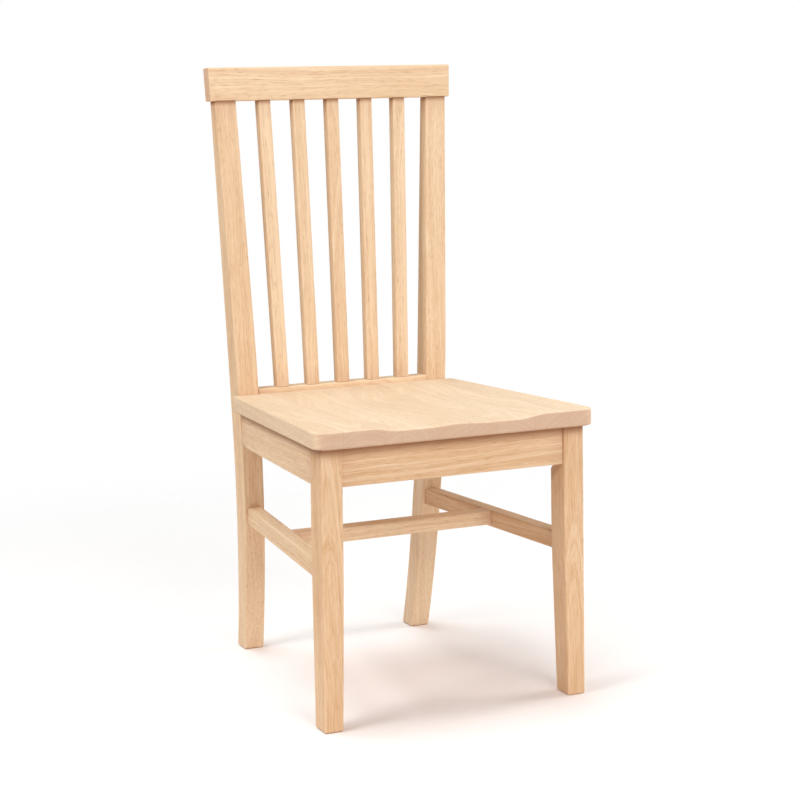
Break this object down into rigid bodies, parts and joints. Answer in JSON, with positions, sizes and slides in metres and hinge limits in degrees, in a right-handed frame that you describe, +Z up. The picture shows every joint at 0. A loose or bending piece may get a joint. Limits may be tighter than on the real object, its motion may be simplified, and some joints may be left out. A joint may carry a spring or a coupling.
{
  "type": "dining chair",
  "caption": "Solid wood side chair with a dished seat, upright flared slats between raked posts under a flat crest rail, tapered front legs and H-shaped stretchers.",
  "frame": {"origin": "on the floor, under the middle of the whole chair's bounding box", "axes": "+Z up, -Y towards the sitter's knees (front of the seat), +X towards the right-hand side of the chair as seen from in front of it"},
  "size_m": [0.4632, 0.5328, 0.9824],
  "materials": {
    "frame_wood": "pale close-grained hardwood, sanded and left bare, satin",
    "seat_wood": "edge-glued staves of the same hardwood running front to back, sanded and left bare, satin",
    "block_wood": "sawn hardwood, unsanded",
    "dowel_wood": "turned hardwood dowel",
    "steel": "zinc-plated steel hardware"
  },
  "bodies": {
    "root": {"back_post_left": "frame_wood", "back_post_right": "frame_wood", "back_slat_1": "frame_wood", "back_slat_2": "frame_wood", "back_slat_3": "frame_wood", "back_slat_4": "frame_wood", "back_slat_5": "frame_wood", "block_screw_left_apron": "steel", "block_screw_left_rail": "steel", "block_screw_right_apron": "steel", "block_screw_right_rail": "steel", "bolt_nut_left": "steel", "bolt_nut_right": "steel", "bolt_washer_left": "steel", "bolt_washer_right": "steel", "corner_block_front_left": "block_wood", "corner_block_front_right": "block_wood", "corner_block_rear_left": "block_wood", "corner_block_rear_right": "block_wood", "crest_rail": "frame_wood", "cross_stretcher": "frame_wood", "front_apron": "frame_wood", "front_apron_dowel_left_lower": "dowel_wood", "front_apron_dowel_left_upper": "dowel_wood", "front_apron_dowel_right_lower": "dowel_wood", "front_apron_dowel_right_upper": "dowel_wood", "front_leg_left": "frame_wood", "front_leg_right": "frame_wood", "hanger_bolt_left": "steel", "hanger_bolt_right": "steel", "rear_seat_rail": "frame_wood", "seat_panel": "seat_wood", "seat_screw_front_left": "steel", "seat_screw_front_right": "steel", "seat_screw_rear_left": "steel", "seat_screw_rear_right": "steel", "side_apron_dowel_left_front_lower": "dowel_wood", "side_apron_dowel_left_front_upper": "dowel_wood", "side_apron_dowel_left_rear_lower": "dowel_wood", "side_apron_dowel_left_rear_upper": "dowel_wood", "side_apron_dowel_right_front_lower": "dowel_wood", "side_apron_dowel_right_front_upper": "dowel_wood", "side_apron_dowel_right_rear_lower": "dowel_wood", "side_apron_dowel_right_rear_upper": "dowel_wood", "side_apron_left": "frame_wood", "side_apron_right": "frame_wood", "side_stretcher_left": "frame_wood", "side_stretcher_right": "frame_wood"}
  },
  "joints": []
}
